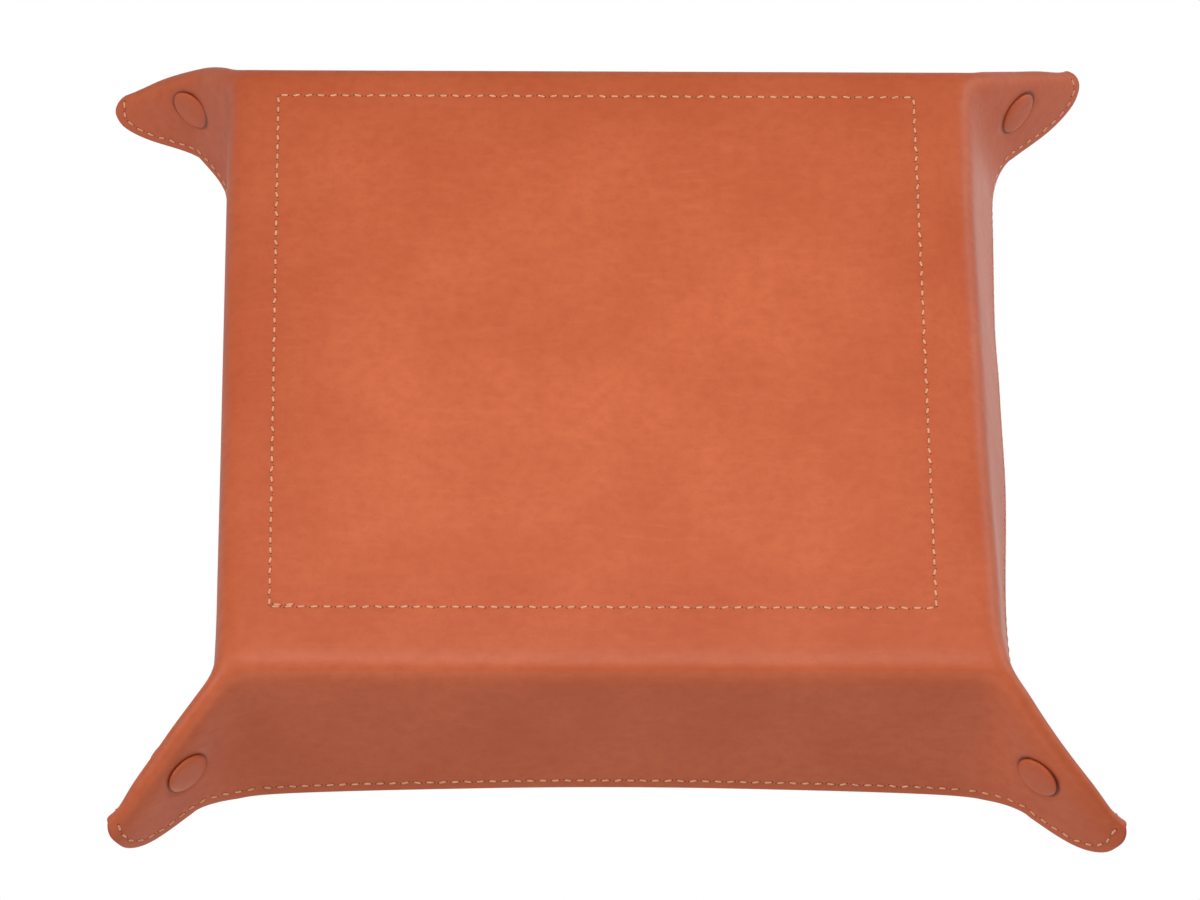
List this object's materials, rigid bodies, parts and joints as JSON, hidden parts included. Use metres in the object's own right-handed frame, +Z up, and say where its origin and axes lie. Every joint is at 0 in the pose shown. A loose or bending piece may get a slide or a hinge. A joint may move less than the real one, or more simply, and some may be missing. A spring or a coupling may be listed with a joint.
{
  "type": "valet tray",
  "caption": "Square valet tray folded from one lined leather sheet, with leaning sides and pinched corner ears held by covered press snaps; it opens out nearly flat.",
  "frame": {"origin": "middle of the base's underside, on the surface it stands on", "axes": "+Z up, out of the tray's open side; +X to the right and +Y to the rear, square to the sides; front is -Y"},
  "size_m": [0.3016, 0.3016, 0.0565],
  "materials": {
    "leather": "smooth tan leather with a soft sheen",
    "lining": "tan pigskin lining, matte",
    "board": "grey fibre board",
    "snap_metal": "nickel plated"
  },
  "bodies": {
    "base": {"base_leather": "leather", "base_lining": "lining", "base_board": "board"},
    "front_wall": {"front_wall_leather": "leather", "front_wall_lining": "lining"},
    "right_wall": {"right_wall_leather": "leather", "right_wall_lining": "lining"},
    "rear_wall": {"rear_wall_leather": "leather", "rear_wall_lining": "lining"},
    "left_wall": {"left_wall_leather": "leather", "left_wall_lining": "lining"},
    "front_left_ear_left": {"front_left_ear_left_leather": "leather", "front_left_ear_left_lining": "lining", "front_left_snap_socket_cover": "leather", "front_left_snap_socket_cap": "snap_metal", "front_left_snap_socket": "snap_metal"},
    "front_left_ear_front": {"front_left_ear_front_leather": "leather", "front_left_ear_front_lining": "lining", "front_left_snap_stud_cover": "leather", "front_left_snap_stud_cap": "snap_metal", "front_left_snap_stud": "snap_metal"},
    "front_right_ear_front": {"front_right_ear_front_leather": "leather", "front_right_ear_front_lining": "lining", "front_right_snap_stud_cover": "leather", "front_right_snap_stud_cap": "snap_metal", "front_right_snap_stud": "snap_metal"},
    "front_right_ear_right": {"front_right_ear_right_leather": "leather", "front_right_ear_right_lining": "lining", "front_right_snap_socket_cover": "leather", "front_right_snap_socket_cap": "snap_metal", "front_right_snap_socket": "snap_metal"},
    "rear_right_ear_right": {"rear_right_ear_right_leather": "leather", "rear_right_ear_right_lining": "lining", "rear_right_snap_socket_cover": "leather", "rear_right_snap_socket_cap": "snap_metal", "rear_right_snap_socket": "snap_metal"},
    "rear_right_ear_rear": {"rear_right_ear_rear_leather": "leather", "rear_right_ear_rear_lining": "lining", "rear_right_snap_stud_cover": "leather", "rear_right_snap_stud_cap": "snap_metal", "rear_right_snap_stud": "snap_metal"},
    "rear_left_ear_rear": {"rear_left_ear_rear_leather": "leather", "rear_left_ear_rear_lining": "lining", "rear_left_snap_stud_cover": "leather", "rear_left_snap_stud_cap": "snap_metal", "rear_left_snap_stud": "snap_metal"},
    "rear_left_ear_left": {"rear_left_ear_left_leather": "leather", "rear_left_ear_left_lining": "lining", "rear_left_snap_socket_cover": "leather", "rear_left_snap_socket_cap": "snap_metal", "rear_left_snap_socket": "snap_metal"}
  },
  "joints": [
    {"name": "front_fold", "type": "hinge", "parent": "base", "child": "front_wall", "pos_m": [0, -0.1155, 0], "axis": [1, 0, 0], "range_deg": [0, 73]},
    {"name": "right_fold", "type": "hinge", "parent": "base", "child": "right_wall", "pos_m": [0.1155, 0, 0], "axis": [0, 1, 0], "range_deg": [0, 73]},
    {"name": "rear_fold", "type": "hinge", "parent": "base", "child": "rear_wall", "pos_m": [0, 0.1155, 0], "axis": [-1, 0, 0], "range_deg": [0, 73]},
    {"name": "left_fold", "type": "hinge", "parent": "base", "child": "left_wall", "pos_m": [-0.1155, 0, 0], "axis": [0, -1, 0], "range_deg": [0, 73]},
    {"name": "front_left_crease_left", "type": "hinge", "parent": "left_wall", "child": "front_left_ear_left", "pos_m": [-0.11308, -0.11054, 0], "axis": [-0.1125, -0.1125, 0.9873], "range_deg": [0, 37.6]},
    {"name": "front_left_crease_front", "type": "hinge", "parent": "front_wall", "child": "front_left_ear_front", "pos_m": [-0.11054, -0.11308, 0], "axis": [0.1125, 0.1125, -0.9873], "range_deg": [0, 37.6]},
    {"name": "front_right_crease_front", "type": "hinge", "parent": "front_wall", "child": "front_right_ear_front", "pos_m": [0.11054, -0.11308, 0], "axis": [0.1125, -0.1125, 0.9873], "range_deg": [0, 37.6]},
    {"name": "front_right_crease_right", "type": "hinge", "parent": "right_wall", "child": "front_right_ear_right", "pos_m": [0.11308, -0.11054, 0], "axis": [-0.1125, 0.1125, -0.9873], "range_deg": [0, 37.6]},
    {"name": "rear_right_crease_right", "type": "hinge", "parent": "right_wall", "child": "rear_right_ear_right", "pos_m": [0.11308, 0.11054, 0], "axis": [0.1125, 0.1125, 0.9873], "range_deg": [0, 37.6]},
    {"name": "rear_right_crease_rear", "type": "hinge", "parent": "rear_wall", "child": "rear_right_ear_rear", "pos_m": [0.11054, 0.11308, 0], "axis": [-0.1125, -0.1125, -0.9873], "range_deg": [0, 37.6]},
    {"name": "rear_left_crease_rear", "type": "hinge", "parent": "rear_wall", "child": "rear_left_ear_rear", "pos_m": [-0.11054, 0.11308, 0], "axis": [-0.1125, 0.1125, 0.9873], "range_deg": [0, 37.6]},
    {"name": "rear_left_crease_left", "type": "hinge", "parent": "left_wall", "child": "rear_left_ear_left", "pos_m": [-0.11308, 0.11054, 0], "axis": [0.1125, -0.1125, -0.9873], "range_deg": [0, 37.6]}
  ],
  "couplings": [
    {"joint": "right_fold", "follows": "front_fold", "ratio": 1},
    {"joint": "rear_fold", "follows": "front_fold", "ratio": 1},
    {"joint": "left_fold", "follows": "front_fold", "ratio": 1},
    {"joint": "front_left_crease_left", "follows": "front_fold", "ratio": 0.515},
    {"joint": "front_left_crease_front", "follows": "front_fold", "ratio": 0.515},
    {"joint": "front_right_crease_front", "follows": "front_fold", "ratio": 0.515},
    {"joint": "front_right_crease_right", "follows": "front_fold", "ratio": 0.515},
    {"joint": "rear_right_crease_right", "follows": "front_fold", "ratio": 0.515},
    {"joint": "rear_right_crease_rear", "follows": "front_fold", "ratio": 0.515},
    {"joint": "rear_left_crease_rear", "follows": "front_fold", "ratio": 0.515},
    {"joint": "rear_left_crease_left", "follows": "front_fold", "ratio": 0.515}
  ]
}
